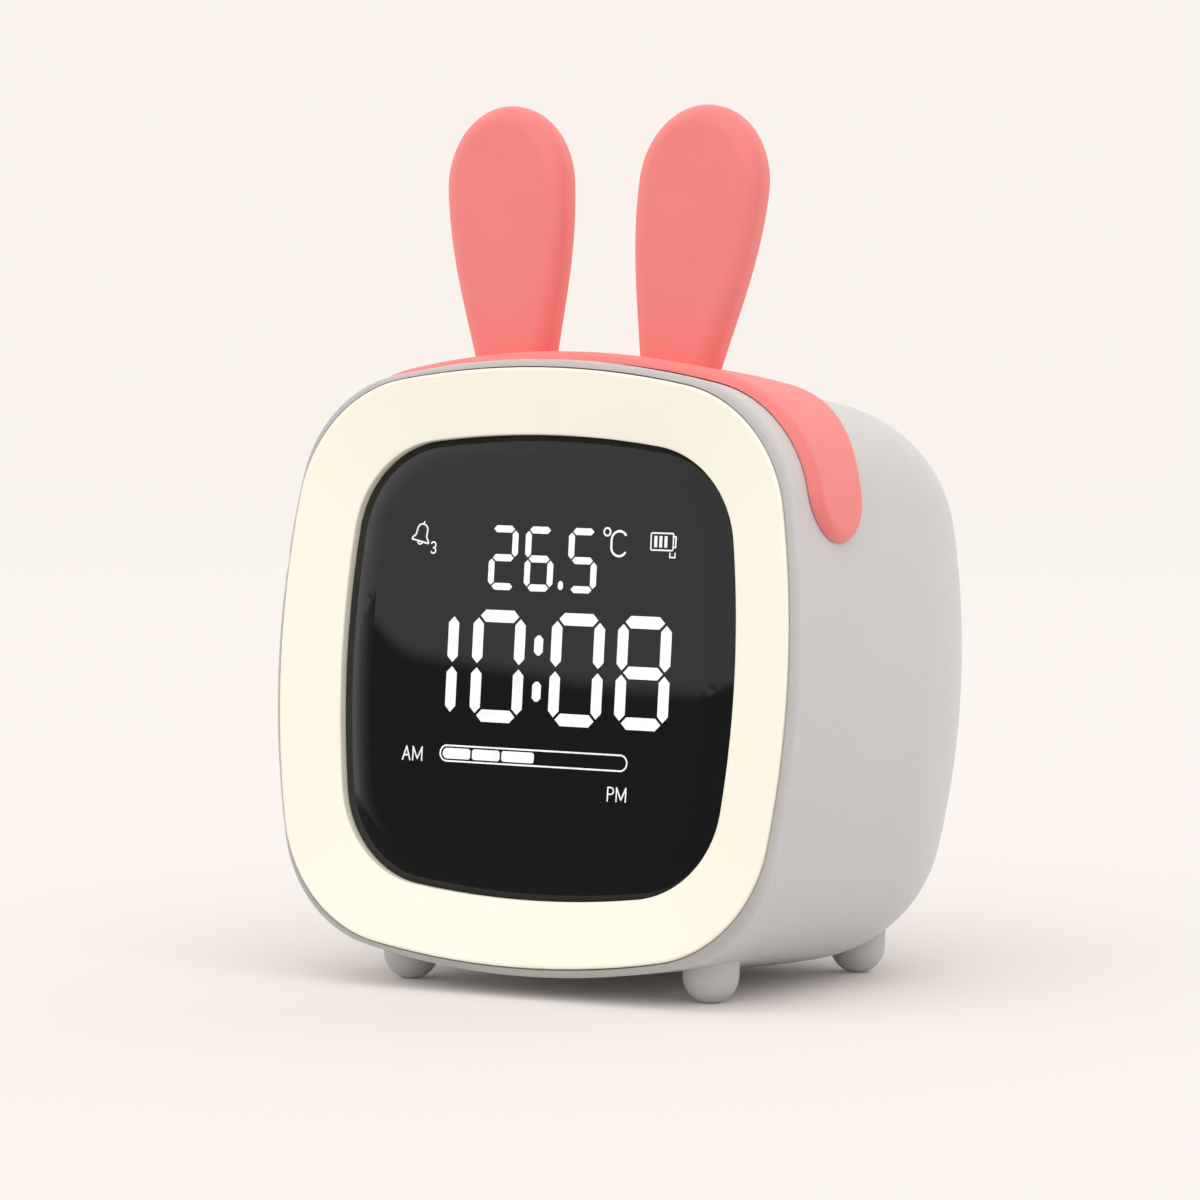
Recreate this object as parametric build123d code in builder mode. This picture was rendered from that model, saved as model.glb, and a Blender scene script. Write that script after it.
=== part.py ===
from build123d import *
from collections import namedtuple
from math import atan2, cos, degrees, radians, sin, sqrt, tan
import os

# A bedside alarm clock with a night light. Millimetres, +Z up, the screen faces -Y.
# Every piece is drawn with the body upright. When it is written, it leans back about the
# front feet, and the origin ends on the table under the middle of the clock.
# Depths are counted from the front face of the light ring towards the back.

# driving dimensions
body_half = 44.7            # half the width and half the height of the housing
body_corner = 19.6          # radius of its four soft corners
body_side = 128.0           # radius of its slightly bowed sides
body_depth = 69.0           # light ring to the flat back
draft_angle = 1.15          # degrees that the sides draw in towards the back
straight_depth = 38.5       # where the back starts to round off
back_round_in = 18.0        # how far the rounding comes in
lip_depth = 0.3             # housing lip behind the light ring
lip_radius = 1.8
wall = 2.2
centre_height = 46.9        # middle of the body above its front feet
body_lean = 5.0             # degrees that it leans back on its feet
centre_shift = -3.03        # from the upright body's middle to that of the leaning clock
button_proud = 0.5          # buttons beyond the flat back

ring_half = 43.35           # light ring
ring_corner = 20.85
ring_side = 137.35
ring_rim = 0.45             # flat rim, then the face slopes in like a shallow dish
ring_dish = 1.95            # depth of the dish at the screen opening
ring_plate = 3.5
ring_gap = 0.2              # groove between the light ring and the housing
ring_skirt_depth = 7.5
ring_skirt = 1.3
ring_edge = 0.3
hole_edge = 0.25
hole_half = 33.7            # screen opening in the light ring
hole_corner = 15.3
hole_side = 147.0

lens_front = 2.0            # smoked lens
lens_window = 3.2           # its back over the display, in a pocket that takes the display block
lens_back = 4.8
lens_curve = 11.0           # radius of its rounded-off border
lens_fall = 28              # degrees that the border falls off by
lens_flange = 1.45
fit_gap = 0.1

segment_front = 3.25        # lit segments behind the lens
segment_thick = 1.2
block_half = 30.5
block_back = 9.1

big_digit = (9.05, 16.35, 1.8)     # width, height, bar
small_digit = (4.95, 9.4, 1.02)
bar_gap = 0.235             # gap between bars, as a share of their width
digits = [                         # lit bars, size, middle across, middle up
    ("bc", big_digit, -18.3, -0.1),
    ("abcdef", big_digit, -6.75, -0.1),
    ("abcdef", big_digit, 6.8, -0.1),
    ("abcdefg", big_digit, 18.05, -0.1),
    ("abged", small_digit, -6.7, 15.7),
    ("acdefg", small_digit, -0.5, 15.7),
    ("acdfg", small_digit, 6.9, 15.7),
]
dots = [(0.13, 3.2, 2.9, 1.5), (0.13, -3.5, 2.9, 1.5), (3.35, 12.0, 1.3, 0.85)]

foot_side = 25.9            # feet
foot_depths = {"front": 12.7, "rear": 55.1}
foot_radius = 4.1
foot_flat = 1.1
foot_top = 16.0
foot_peg = 1.6
foot_peg_length = 6.2

ear_lean = 5.5              # ears and their saddle band
ear_root = 44.0
ear_centre = 14.05
ear_base = 6.1
ear_widest = 10.4
ear_widest_height = 27.0
ear_length = 38.95
ear_thick = 6.6
ear_round = 3.0
ear_depth = 15.4
band_thick = 1.5
band_gap = 0.15
band_round = 2.0
band_front = 5.7
band_front_low = 6.1
band_rear = 27.8
band_rear_low = 20.9
band_end = 19.6
peg_radius = 2.0
peg_length = 1.7
peg_gap = 0.2

cover_half = 23.6           # back cover
cover_thick = 2.0
cover_sink = 0.4
opening_width = 35.6
opening_height = 36.4
opening_corner = 7.0
ledge_thick = 1.8
post_side = 20.4
post_height = 9.0
post_radius = 2.5
post_shoulder = 3.6

board_thick = 1.6
main_board_depth = 20.0
chassis_depth = 8.4
chassis_back = 11.0
chassis_gap = 0.6
backing_back = 12.3
main_board_half = 39.2
main_boss = 2.2
screw_shank = 1.0
small_shank = 0.7
ring_shank = 0.8
header_height = 27.5
ring_header_height = -37.4

gasket_back = 5.8           # stack behind the light ring
gasket_outer = 35.2
gasket_inner = 30.8
reflector_outer = 36.6
reflector_inner = 35.6
reflector_thick = 1.0
led_board_inner = 34.5
backing_half = 34.5
ring_led_wide = 3.5
ring_led_high = 2.8
ring_led_thick = 1.2
ring_boss = 2.0
ring_board_front = 7.2
segment_board_half = 33.2
segment_board_back = 10.7
chip_led_long = 1.0
chip_led_short = 0.5
chip_led_thick = 0.4

button_row = 12.0
button_pitch = 6.2
button_radius = 2.3
button_travel = 0.6
button_flange = 2.6
button_names = ["mode", "alarm", "minus", "plus", "light"]
button_board_back = 61.2
switch_face = 64.2
plunger_radius = 1.2
plunger_deep = 0.8
standoff_radius = 1.3
button_ribbon_place = -6.0

port_row = -15.2
usb_place = -5.5
switch_place = 6.0
switch_travel = 2.0
usb_wide = 8.94
usb_high = 3.26
usb_corner = 1.6
usb_sheet = 0.3
port_board_back = 62.0
knob_wide = 2.4
knob_high = 1.5
groove = 0.25
foot_wide = 3.0
foot_high = 1.4
port_ribbon_place = 4.0

speaker_height = -1.6
speaker_radius = 9.8

cell_radius = 9.2
cell_length = 65.0
cell_height = -22.4
cell_depth = 33.6
holder_back = 37.0
grille_hole = 0.6
grille_pitch = 2.1

lean = radians(body_lean)
draft_drop = (ear_depth - lip_depth) * tan(radians(draft_angle))
front_y = -(body_depth + button_proud) / 2
pivot_y = front_y + foot_depths["front"]
ground = Plane(origin=(0, pivot_y, 0), x_dir=(1, 0, 0), z_dir=(0, -sin(lean), cos(lean)))
cover_out = body_depth - cover_sink
cover_in = cover_out - cover_thick
back_in = cover_in - ledge_thick

screw_seat = cover_out - 1.3

post_places = [(x, y) for x in (-post_side, post_side) for y in (-post_height, post_height)]
button_places = [(button_pitch * (n - 2), button_row) for n in range(5)]
button_screw_places = [(-16.4, button_row), (16.4, button_row)]
port_screw_places = [(-11.7, port_row), (11.9, port_row)]
main_screw_places = [(-29.5, 24), (29.5, 24), (-36, -4), (36, -4)]
ring_boss_places = [(x, y) for x in (-32.5, 32.5) for y in (-32.5, 32.5)]
ring_led_places = []
for turn in range(0, 360, 90):
    for place in [(-20, 37.8), (0, 39.25), (20, 37.8)]:
        spot = Vector(*place).rotate(Axis.Z, turn)
        ring_led_places.append((spot.X, spot.Y))
grille_places = [(0, speaker_height)]
for ring_number in range(1, 4):
    for step in range(6 * ring_number):
        angle = radians(60 * step / ring_number)
        reach = grille_pitch * ring_number
        grille_places.append((reach * cos(angle), speaker_height + reach * sin(angle)))

Outline = namedtuple("Outline", "half corner side")
body_outline = Outline(body_half, body_corner, body_side)
ring_outline = Outline(ring_half, ring_corner, ring_side)
hole_outline = Outline(hole_half, hole_corner, hole_side)
pieces = {}


# shared shapes
def grown(shape, by):
    """The same outline, offset outwards by a distance."""
    return Outline(shape.half + by, shape.corner + by, shape.side + by)


def scaled(shape, half):
    """The same outline at another size."""
    share = half / shape.half
    return Outline(half, shape.corner * share, shape.side * share)


def squircle(shape, mode=Mode.ADD):
    """A soft square: four bowed sides joined by tangent corner arcs."""
    bow = shape.half - shape.side
    reach = shape.side - shape.corner
    centre = (bow + sqrt(2 * reach**2 - bow**2)) / 2
    meet = Vector(bow, 0) + Vector(centre - bow, centre) * (shape.side / reach)
    tip = centre + shape.corner / sqrt(2)
    with BuildLine() as rim:
        for turn in range(0, 360, 90):
            side_points = [(meet.X, -meet.Y), (shape.half, 0), (meet.X, meet.Y)]
            corner_points = [(meet.X, meet.Y), (tip, tip), (meet.Y, meet.X)]
            ThreePointArc(*[Vector(p).rotate(Axis.Z, turn) for p in side_points])
            ThreePointArc(*[Vector(p).rotate(Axis.Z, turn) for p in corner_points])
    make_face(rim.edges(), mode=mode)


def face_plane(depth, across=0, up=0):
    """A plane that faces the front, with its own X across and its own Y up."""
    return Plane(origin=(across, front_y + depth, centre_height + up), x_dir=(1, 0, 0), z_dir=(0, -1, 0))


def barrel(by, mode=Mode.ADD):
    """The drafted front stretch of the housing, offset outwards by a distance."""
    with BuildSketch(face_plane(lip_depth)) as section:
        squircle(grown(body_outline, by))
    extrude(section.sketch, amount=-(straight_depth - lip_depth), taper=draft_angle, mode=mode)


def rounded_back(inset, back):
    """The back of the housing: sections that shrink along a quarter ellipse."""
    start = grown(body_outline, -inset - (straight_depth - lip_depth) * tan(radians(draft_angle)))
    sections = []
    for angle in (0, 12, 25, 38, 52, 66, 78, 90):
        depth = straight_depth + (back - straight_depth) * sin(radians(angle))
        half = start.half - (back_round_in - inset) * (1 - cos(radians(angle)))
        with BuildSketch(face_plane(depth)) as section:
            squircle(scaled(start, half))
        sections.append(section.sketch)
    loft(sections)


def bar_face(length, bar):
    """One bar of a digit: a hexagon between two corners of the digit, lying along X."""
    tip = length / 2 - bar * bar_gap / sqrt(2)
    shoulder = tip - bar / 2
    with BuildLine() as rim:
        Polyline(
            (-tip, 0),
            (-shoulder, bar / 2),
            (shoulder, bar / 2),
            (tip, 0),
            (shoulder, -bar / 2),
            (-shoulder, -bar / 2),
            close=True,
        )
    make_face(rim.edges())


def bar_spots(bars, size, across, up):
    """Spot and length of each bar of a digit: a top, b and c right, d bottom, e and f left, g middle."""
    width, height, bar = size
    right = (width - bar) / 2
    level = (height - bar) / 2
    places = {
        "a": (0, level, 0),
        "g": (0, 0, 0),
        "d": (0, -level, 0),
        "b": (right, level / 2, 90),
        "c": (right, -level / 2, 90),
        "f": (-right, level / 2, 90),
        "e": (-right, -level / 2, 90),
    }
    spots = []
    for name in bars:
        x, y, turn = places[name]
        length = 2 * right if turn == 0 else level
        spots.append((Location((across + x, up + y, 0), (0, 0, turn)), length))
    return spots


def stroke(points, thickness):
    """A rounded pen stroke through points."""
    for start, end in zip(points, points[1:]):
        middle = (Vector(*start) + Vector(*end)) / 2
        run = Vector(*end) - Vector(*start)
        turn = degrees(atan2(run.Y, run.X))
        with Locations(Location((middle.X, middle.Y, 0), (0, 0, turn))):
            SlotCenterToCenter(run.length, thickness)


def bowed_stroke(centre, radius, start, sweep_angle, thickness):
    """A rounded pen stroke along an arc."""
    with BuildLine(mode=Mode.PRIVATE):
        arc = CenterArc(centre, radius, start, sweep_angle)
    SlotArc(arc, thickness)


def hoop(centre, radius, thickness):
    """A thin round ring."""
    with Locations(centre):
        Circle(radius + thickness / 2)
        Circle(radius - thickness / 2, mode=Mode.SUBTRACT)


def letters(word, across, up, height, thickness):
    """Plain capitals drawn with a pen stroke: A, M and P."""
    widths = {"A": 0.66, "M": 0.8, "P": 0.5}
    pen = across
    low, high = up, up + height
    for letter in word:
        wide = height * widths[letter]
        if letter == "A":
            stroke([(pen, low), (pen + wide / 2, high), (pen + wide, low)], thickness)
            bar_level = low + height * 0.36
            stroke([(pen + wide * 0.2, bar_level), (pen + wide * 0.8, bar_level)], thickness)
        elif letter == "M":
            middle = (pen + wide / 2, low + height * 0.12)
            right = pen + wide
            stroke([(pen, low), (pen, high), middle, (right, high), (right, low)], thickness)
        elif letter == "P":
            bowl = height * 0.25
            edge = pen + wide - bowl
            stroke([(pen, low), (pen, high), (edge, high)], thickness)
            bowed_stroke((edge, high - bowl), bowl, 90, -180, thickness)
            stroke([(edge, high - 2 * bowl), (pen, high - 2 * bowl)], thickness)
        pen += wide + height * 0.26


def digit_faces():
    """The bars and dots of the time and of the temperature."""
    for bars, size, across, up in digits:
        for spot, length in bar_spots(bars, size, across, up):
            with Locations(spot):
                with BuildSketch(mode=Mode.PRIVATE) as bar_shape:
                    bar_face(length, size[2])
                add(bar_shape.sketch)
    for x, y, high, wide in dots:
        with Locations((x, y)):
            with BuildSketch(mode=Mode.PRIVATE) as dot_shape:
                Rectangle(wide, high)
                chamfer(dot_shape.vertices(), wide * 0.34)
            add(dot_shape.sketch)


def mark_faces():
    """The small marks: degrees, bell, battery, AM and PM, and the progress bar."""
    hoop((10.9, 20.0), 0.55, 0.26)
    celsius()
    bell()
    battery_mark()
    letters("AM", -22.55, -14.4, 1.95, 0.23)
    letters("PM", 13.1, -18.62, 1.95, 0.21)
    progress_bar()


def celsius():
    """A narrow capital C."""
    x, y, bow, straight, pen = 13.0, 18.35, 1.32, 0.48, 0.34
    bowed_stroke((x, y + straight), bow, 38, 142, pen)
    stroke([(x - bow, y + straight), (x - bow, y - straight)], pen)
    bowed_stroke((x, y - straight), bow, 180, 142, pen)


def bell():
    """An alarm bell drawn in line, leaning to the right, with a small 3 beside it."""
    foot, tip, pen = Vector(-21.33, 17.66), -12, 0.24
    rim, waist, shoulder, bow = 1.45, 0.95, 1.7, 0.88
    for side in (-1, 1):
        outline = [(0, 0), (side * rim, 0), (side * rim, 0.25), (side * waist, 0.8), (side * bow, shoulder)]
        stroke([foot + Vector(u, v).rotate(Axis.Z, tip) for u, v in outline], pen)
    crown = foot + Vector(0, shoulder).rotate(Axis.Z, tip)
    bowed_stroke(crown, bow, tip, 180, pen)
    stroke([crown + Vector(0, v).rotate(Axis.Z, tip) for v in (bow, bow + 0.32)], pen)
    bowed_stroke(foot, 0.42, 180 + tip, 180, pen)
    bowed_stroke((-18.95, 17.2), 0.41, 150, -240, 0.22)
    bowed_stroke((-18.95, 16.38), 0.41, -150, 240, 0.22)


def battery_mark():
    """A battery in line with three bars, and a small plug under its cap."""
    x, y, pen = 20.2, 18.85, 0.22
    half_wide, half_high = 1.87, 1.22
    with Locations((x, y)):
        RectangleRounded(2 * half_wide + pen, 2 * half_high + pen, 0.35)
        Rectangle(2 * half_wide - pen, 2 * half_high - pen, mode=Mode.SUBTRACT)
    with Locations(*[(x + 0.85 * n - 0.23, y) for n in (-1, 0, 1)]):
        Rectangle(0.5, 1.65)
    nub = x + half_wide + 0.42
    stroke([(x + half_wide, y + 0.75), (nub, y + 0.75), (nub, y - 0.75), (x + half_wide, y - 0.75)], pen)
    plug = [(nub - 0.9, y - 1.6), (nub - 0.9, y - 2.2), (nub - 0.05, y - 2.2), (nub - 0.05, y - 1.6)]
    stroke(plug, pen)


def progress_bar():
    """A long rounded frame with its first three blocks lit."""
    left, right, high, pen = -16.1, 16.2, 2.5, 0.24
    level, lit_high, lit_corner = -13.12, 1.55, 0.42
    lit_blocks = [(-15.55, -10.75), (-10.45, -5.65), (-5.35, 0.25)]
    with Locations(((left + right) / 2, level)):
        SlotOverall(right - left, high)
        SlotOverall(right - left - 2 * pen, high - 2 * pen, mode=Mode.SUBTRACT)
    for start, end in lit_blocks:
        with Locations(((start + end) / 2, level)):
            RectangleRounded(end - start, lit_high, lit_corner)
    # the first block's left end follows the frame
    with Locations((lit_blocks[0][0] + lit_high / 2, level)):
        Rectangle(lit_high, lit_high, mode=Mode.SUBTRACT)
        Circle(lit_high / 2)
    with Locations((lit_blocks[0][0] + lit_high * 0.75, level)):
        Rectangle(lit_high / 2, lit_high)


def ribbon(points, width, across, thickness=0.3):
    """A flat inner cable: a bent strip that follows points given as depth and height."""
    with BuildSketch(Plane.YZ.offset(across - width / 2)) as section:
        with BuildLine():
            path = FilletPolyline(*[(front_y + d, centre_height + h) for d, h in points], radius=2.0)
        trace(path, thickness)
    extrude(section.sketch, amount=width)


def block(places, wide, high, depth, back, corner=0, mode=Mode.ADD):
    """Rectangular blocks that face the front, from one depth back to another."""
    with BuildSketch(face_plane(depth)) as section:
        with Locations(*places):
            if corner > 0:
                RectangleRounded(wide, high, corner)
            else:
                Rectangle(wide, high)
    extrude(section.sketch, amount=depth - back, mode=mode)


def disc(places, radius, depth, back, mode=Mode.ADD):
    """Round discs, posts or holes that face the front, from one depth back to another."""
    with BuildSketch(face_plane(depth)) as section:
        with Locations(*places):
            Circle(radius)
    extrude(section.sketch, amount=depth - back, mode=mode)


def plate(outer, inner, depth, back):
    """A soft-square plate, or a frame with a soft-square hole, from one depth back to another."""
    with BuildSketch(face_plane(depth)) as section:
        squircle(outer)
        if inner:
            squircle(inner, mode=Mode.SUBTRACT)
    extrude(section.sketch, amount=depth - back)


def turned(profile, across, up, mode=Mode.ADD):
    """A round body about an axis that runs to the back; its profile is radius and depth."""
    centre = (across, front_y, centre_height + up)
    with BuildSketch(Plane(origin=centre, x_dir=(1, 0, 0), z_dir=(0, 0, 1))) as section:
        with BuildLine():
            Polyline(*profile, close=True)
        make_face()
    revolve(section.sketch, axis=Axis(centre, (0, 1, 0)), mode=mode)


def screws(places, seat, head_end, tip, head_radius, shank_radius):
    """Cross-head screws: the head runs from its seat to one depth, the shank to another."""
    disc(places, head_radius, min(seat, head_end), max(seat, head_end))
    disc(places, shank_radius, min(seat, tip), max(seat, tip))
    middle = (seat + head_end) / 2
    for wide, high in [(head_radius * 1.2, 0.45), (0.45, head_radius * 1.2)]:
        block(places, wide, high, min(middle, head_end), max(middle, head_end), mode=Mode.SUBTRACT)


# housing
with BuildPart() as body_blank:
    barrel(0)
    fillet(body_blank.faces().sort_by(Axis.Y)[0].edges(), lip_radius)
    rounded_back(0, body_depth)

with BuildPart() as housing:
    add(body_blank.part)
    barrel(-wall, mode=Mode.SUBTRACT)
    with BuildPart(mode=Mode.PRIVATE) as back_hollow:
        rounded_back(wall, back_in)
    add(back_hollow.part, mode=Mode.SUBTRACT)
    # seat for the skirt of the light ring
    with BuildSketch(face_plane(-1)):
        squircle(grown(ring_outline, ring_gap))
    extrude(amount=-(ring_skirt_depth + fit_gap + 1), mode=Mode.SUBTRACT)
    # recess and opening for the back cover
    with BuildSketch(face_plane(cover_in)):
        squircle(scaled(body_outline, cover_half + fit_gap))
    extrude(amount=-(body_depth - cover_in + 1), mode=Mode.SUBTRACT)
    with BuildSketch(face_plane(back_in - 1)):
        RectangleRounded(opening_width, opening_height, opening_corner)
    extrude(amount=-(ledge_thick + 2), mode=Mode.SUBTRACT)
    with BuildSketch(face_plane(back_in - 1)):
        with GridLocations(2 * post_side, 2 * post_height, 2, 2):
            Circle(1.2)
    extrude(amount=-(ledge_thick + 2), mode=Mode.SUBTRACT)
    # flat pad under the roof for the touch plate
    with BuildSketch(Plane.XY.offset(centre_height + 40.4)):
        with Locations((0, front_y + 34)):
            RectangleRounded(24, 16, 2)
    extrude(amount=2.6)
    # sockets for the pegs of the ear band
    with BuildSketch(Plane.XY.offset(centre_height + body_half + 1)):
        with Locations((-ear_centre, front_y + ear_depth), (ear_centre, front_y + ear_depth)):
            Circle(peg_radius + peg_gap)
    extrude(amount=-8, mode=Mode.SUBTRACT)
    # holes for the pegs of the feet
    with BuildSketch(Plane.XY.offset(0)):
        with Locations(*[(s * foot_side, front_y + d) for s in (-1, 1) for d in foot_depths.values()]):
            Circle(foot_peg)
    extrude(amount=centre_height - 25, mode=Mode.SUBTRACT)
pieces["housing"] = housing

# feet: a short post with a round end, shaped to the underside and flat on the table
for place, foot_depth in foot_depths.items():
    rise = (foot_depth - foot_depths["front"]) * sin(lean)
    ball_height = (sqrt(foot_radius**2 - foot_flat**2) + rise) / cos(lean)
    for side_name, side in {"left": -1, "right": 1}.items():
        foot_place = (side * foot_side, front_y + foot_depth)
        with BuildPart() as foot:
            with BuildSketch(Plane.XY.offset(ball_height)):
                with Locations(foot_place):
                    Circle(foot_radius)
            extrude(amount=foot_top - ball_height)
            with Locations((*foot_place, ball_height)):
                Sphere(foot_radius)
            split(bisect_by=ground, keep=Keep.TOP)
            add(body_blank.part, mode=Mode.SUBTRACT)
            with BuildSketch(Plane.XY.offset(ball_height)):
                with Locations(foot_place):
                    Circle(foot_peg)
            extrude(amount=foot_peg_length)
        pieces[f"foot_{place}_{side_name}"] = foot

# ear band: saddle, two ears and two pegs, moulded in one
with BuildPart() as ear_band:
    barrel(band_gap + band_thick)
    with BuildSketch(Plane.YZ.offset(-body_half - 10)):
        with BuildLine():
            end_radius = (band_rear_low - band_front_low) / 2
            end_centre = centre_height + band_end + end_radius
            low_front = (front_y + band_front_low, end_centre)
            low_middle = (front_y + band_front_low + end_radius, centre_height + band_end)
            low_rear = (front_y + band_rear_low, end_centre)
            high_rear = (front_y + band_rear, centre_height + body_half)
            high_front = (front_y + band_front, centre_height + body_half - 1)
            above = centre_height + body_half + 10
            ThreePointArc(low_front, low_middle, low_rear)
            Spline(low_rear, high_rear, tangents=[(0.1, 1), (0.1, 1)])
            Polyline(high_rear, (high_rear[0], above), (high_front[0], above), high_front)
            Spline(high_front, low_front, tangents=[(0, -1), (0, -1)])
        make_face()
    extrude(amount=2 * body_half + 20, mode=Mode.INTERSECT)
    skin = ear_band.faces().filter_by(lambda f: abs(f.normal_at().Y) < 0.1 and f.normal_at().Z > -0.7)
    border = skin.edges().filter_by(GeomType.BEZIER, reverse=True)
    fillet(border, band_round)
    ear_crown = ear_length - ear_widest_height
    with BuildPart(mode=Mode.PRIVATE) as ears:
        for side in (-1, 1):
            splay = radians(side * ear_lean)
            ear_plane = Plane(
                origin=(side * ear_centre, front_y + ear_depth - ear_thick / 2, centre_height + ear_root),
                x_dir=(cos(splay), 0, -sin(splay)),
                z_dir=(0, -1, 0),
            )
            with BuildSketch(ear_plane):
                with BuildLine():
                    Line((-ear_base, 0), (ear_base, 0))
                    Spline((ear_base, 0), (ear_widest, ear_widest_height), tangents=[(0.2, 1), (0, 1)])
                    EllipticalCenterArc((0, ear_widest_height), ear_widest, ear_crown, arc_size=180)
                    Spline((-ear_widest, ear_widest_height), (-ear_base, 0), tangents=[(0, -1), (0.2, -1)])
                make_face()
        extrude(amount=-ear_thick)
        rims = ears.faces().filter_by(Axis.Y).edges()
        fillet(rims.filter_by(lambda e: e.center().Z > centre_height + ear_root + 3), ear_round)
    add(ears.part)
    barrel(band_gap, mode=Mode.SUBTRACT)
    with BuildSketch(Plane.XY.offset(centre_height + body_half - draft_drop)):
        with Locations((-ear_centre, front_y + ear_depth), (ear_centre, front_y + ear_depth)):
            Circle(peg_radius)
    extrude(amount=peg_length, both=True)
pieces["ear_band"] = ear_band

# screen and night light
with BuildPart() as light_ring:
    with BuildSketch(face_plane(0)):
        squircle(ring_outline)
    extrude(amount=-ring_skirt_depth)
    fillet(light_ring.faces().sort_by(Axis.Y)[0].edges(), ring_edge)
    with BuildSketch(face_plane(ring_plate)):
        squircle(grown(ring_outline, -ring_skirt))
    extrude(amount=-ring_skirt_depth, mode=Mode.SUBTRACT)
    # the dished face and the screen opening
    with BuildSketch(face_plane(0)):
        squircle(grown(ring_outline, -ring_rim))
    with BuildSketch(face_plane(ring_dish)):
        squircle(hole_outline)
    loft(mode=Mode.SUBTRACT)
    with BuildSketch(face_plane(-1)):
        squircle(hole_outline)
    extrude(amount=-(ring_plate + 2), mode=Mode.SUBTRACT)
    disc(ring_boss_places, ring_boss, ring_plate, chassis_depth)
    disc(ring_boss_places, ring_shank, chassis_depth - 4.6, chassis_depth, mode=Mode.SUBTRACT)
    hole_edges = light_ring.edges().filter_by(lambda e: abs(e.center().Y - front_y - ring_dish) < 0.01)
    fillet(hole_edges, hole_edge)
pieces["light_ring"] = light_ring

lens_outline = grown(hole_outline, -fit_gap)
lens_rim = lens_front + lens_curve * (1 - cos(radians(lens_fall)))
lens_pocket = scaled(hole_outline, block_half + fit_gap)
with BuildPart() as display_lens:
    plate(lens_outline, lens_pocket, lens_rim, lens_back)
    for share in range(5):
        angle = lens_fall * share / 4
        inset = lens_curve * (sin(radians(lens_fall)) - sin(radians(angle)))
        with BuildSketch(face_plane(lens_front + lens_curve * (1 - cos(radians(angle))))):
            squircle(grown(lens_outline, -inset))
    loft()
    with BuildSketch(face_plane(lens_window)):
        squircle(lens_pocket)
    extrude(amount=lens_window - lens_back, mode=Mode.SUBTRACT)
    plate(grown(hole_outline, lens_flange), lens_pocket, ring_plate + fit_gap / 2, lens_back)
pieces["display_lens"] = display_lens

with BuildPart() as display_segments:
    with BuildSketch(face_plane(segment_front)):
        digit_faces()
        mark_faces()
    extrude(amount=-segment_thick)
pieces["display_segments"] = display_segments

with BuildPart() as segment_reflector:
    plate(scaled(hole_outline, block_half), None, segment_front, block_back)
    with BuildSketch(face_plane(segment_front)):
        digit_faces()
    extrude(amount=segment_front - block_back, mode=Mode.SUBTRACT)
    with BuildSketch(face_plane(segment_front)):
        mark_faces()
    extrude(amount=-segment_thick, mode=Mode.SUBTRACT)
pieces["segment_reflector"] = segment_reflector

with BuildPart() as segment_board:
    plate(scaled(hole_outline, segment_board_half), None, block_back, segment_board_back)
pieces["segment_board"] = segment_board

with BuildPart() as segment_leds:
    with BuildSketch(face_plane(block_back - chip_led_thick)):
        for digit in digits:
            for spot, length in bar_spots(*digit):
                with Locations(spot):
                    Rectangle(chip_led_long, chip_led_short)
        with Locations(*[dot[:2] for dot in dots]):
            Rectangle(chip_led_short, chip_led_long)
    extrude(amount=-chip_led_thick)
pieces["segment_leds"] = segment_leds

with BuildPart() as lens_gasket:
    plate(scaled(hole_outline, gasket_outer), scaled(hole_outline, gasket_inner), lens_back, gasket_back)
pieces["lens_gasket"] = lens_gasket

with BuildPart() as ring_reflector:
    wall_outer = scaled(hole_outline, reflector_outer)
    wall_inner = scaled(hole_outline, reflector_inner)
    floor_outer = grown(ring_outline, -ring_skirt - fit_gap)
    plate(wall_outer, wall_inner, ring_plate, ring_board_front)
    plate(wall_outer, scaled(hole_outline, gasket_inner), gasket_back, gasket_back + reflector_thick)
    plate(floor_outer, wall_inner, ring_board_front - reflector_thick, ring_board_front)
    block(ring_led_places, ring_led_wide + 0.9, ring_led_wide + 0.9, 0, ring_board_front, mode=Mode.SUBTRACT)
    disc(ring_boss_places, ring_boss + 0.3, 0, ring_board_front, mode=Mode.SUBTRACT)
pieces["ring_reflector"] = ring_reflector

with BuildPart() as ring_led_board:
    led_board_outer = grown(ring_outline, -ring_skirt - 2 * fit_gap)
    plate(led_board_outer, scaled(hole_outline, led_board_inner), ring_board_front, chassis_depth)
    disc(ring_boss_places, ring_boss + 0.3, ring_board_front, chassis_depth, mode=Mode.SUBTRACT)
pieces["ring_led_board"] = ring_led_board

with BuildPart() as ring_leds:
    block(ring_led_places, ring_led_wide, ring_led_high, ring_board_front - ring_led_thick, ring_board_front)
pieces["ring_leds"] = ring_leds

# chassis with its four posts
with BuildPart() as chassis:
    frame_outer = grown(body_outline, -wall - chassis_gap)
    frame_inner = scaled(hole_outline, segment_board_half + 2 * fit_gap)
    plate(frame_outer, frame_inner, chassis_depth, chassis_back)
    plate(scaled(hole_outline, backing_half), None, segment_board_back, backing_back)
    disc(post_places, post_shoulder, backing_back, main_board_depth)
    disc(post_places, post_radius, main_board_depth, back_in)
    disc(main_screw_places, main_boss, segment_board_back, main_board_depth)
    disc(post_places, screw_shank, back_in - 8, back_in, mode=Mode.SUBTRACT)
    disc(main_screw_places, small_shank, main_board_depth - 5, main_board_depth, mode=Mode.SUBTRACT)
    disc(ring_boss_places, ring_shank, chassis_depth, chassis_back, mode=Mode.SUBTRACT)
    block([(0, header_height)], 18, 3, segment_board_back, backing_back, mode=Mode.SUBTRACT)
    block([(0, ring_header_height)], 9, 3, chassis_depth, chassis_back, mode=Mode.SUBTRACT)
pieces["chassis"] = chassis

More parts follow.
